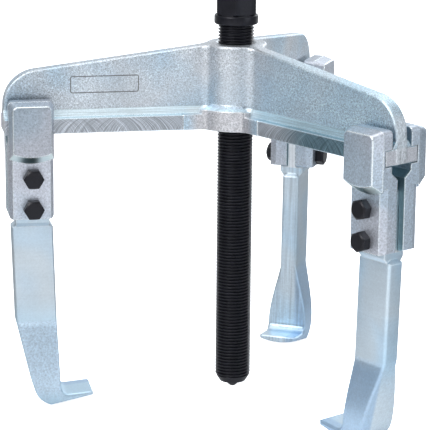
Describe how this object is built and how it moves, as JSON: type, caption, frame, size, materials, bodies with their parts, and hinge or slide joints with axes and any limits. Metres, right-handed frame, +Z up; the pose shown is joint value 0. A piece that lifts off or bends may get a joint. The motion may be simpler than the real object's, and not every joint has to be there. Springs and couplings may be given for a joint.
{
  "type": "gear puller",
  "caption": "Universal external gear puller: arms of a forged crossbeam carry sliding bolted hook jaws, and a black forcing screw with hex head runs through the hub.",
  "frame": {"origin": "the point of the pressure tip, at the spindle's lower end; the crossbeam's lower machined face is 169.6 mm above it", "axes": "+Z up along the spindle towards its hex head; +Y along the rear arm; the left arm points to 210 degrees and the right arm to 330 degrees about +Z"},
  "size_m": [0.2655, 0.2347, 0.2638],
  "materials": {
    "zinc_forging": "zinc plated over a fine forged grain, satin",
    "zinc_cheek": "zinc plated over a fine forged grain, satin",
    "zinc_leg": "zinc plated and lightly ground, bluish satin",
    "black_oxide_steel": "black oxide, oiled semi-gloss",
    "tip_steel": "hardened dark steel, smooth",
    "black_bolt": "black oxide, satin"
  },
  "bodies": {
    "crossbeam": {"crossbeam": "zinc_forging"},
    "pressure_tip": {"pressure_tip": "tip_steel"},
    "spindle": {"spindle": "black_oxide_steel"},
    "jaw_left": {"hook_left": "zinc_leg", "cheek_left_a": "zinc_cheek", "cheek_left_b": "zinc_cheek", "bolt_left_upper": "black_bolt", "nut_left_upper": "black_bolt", "bolt_left_lower": "black_bolt", "nut_left_lower": "black_bolt"},
    "jaw_right": {"hook_right": "zinc_leg", "cheek_right_a": "zinc_cheek", "cheek_right_b": "zinc_cheek", "bolt_right_upper": "black_bolt", "nut_right_upper": "black_bolt", "bolt_right_lower": "black_bolt", "nut_right_lower": "black_bolt"},
    "jaw_rear": {"hook_rear": "zinc_leg", "cheek_rear_a": "zinc_cheek", "cheek_rear_b": "zinc_cheek", "bolt_rear_upper": "black_bolt", "nut_rear_upper": "black_bolt", "bolt_rear_lower": "black_bolt", "nut_rear_lower": "black_bolt"}
  },
  "joints": [
    {"name": "spindle_feed", "type": "slide", "parent": "crossbeam", "child": "pressure_tip", "axis": [0, 0, 1], "range_m": [-0.0112, 0.15]},
    {"name": "spindle_turn", "type": "hinge", "parent": "pressure_tip", "child": "spindle", "pos_m": [0, 0, 0], "axis": [0, 0, 1], "range_deg": [-2017, 27002]},
    {"name": "jaw_left_slide", "type": "slide", "parent": "crossbeam", "child": "jaw_left", "axis": [-0.866, -0.5, 0], "range_m": [-0.073, 0.0038]},
    {"name": "jaw_right_slide", "type": "slide", "parent": "crossbeam", "child": "jaw_right", "axis": [0.866, -0.5, 0], "range_m": [-0.0753, 0.0015]},
    {"name": "jaw_rear_slide", "type": "slide", "parent": "crossbeam", "child": "jaw_rear", "axis": [0, 1, 0], "range_m": [-0.0762, 0.0006]}
  ],
  "couplings": [
    {"joint": "spindle_turn", "follows": "spindle_feed", "rad_per_m": 3141.6}
  ]
}
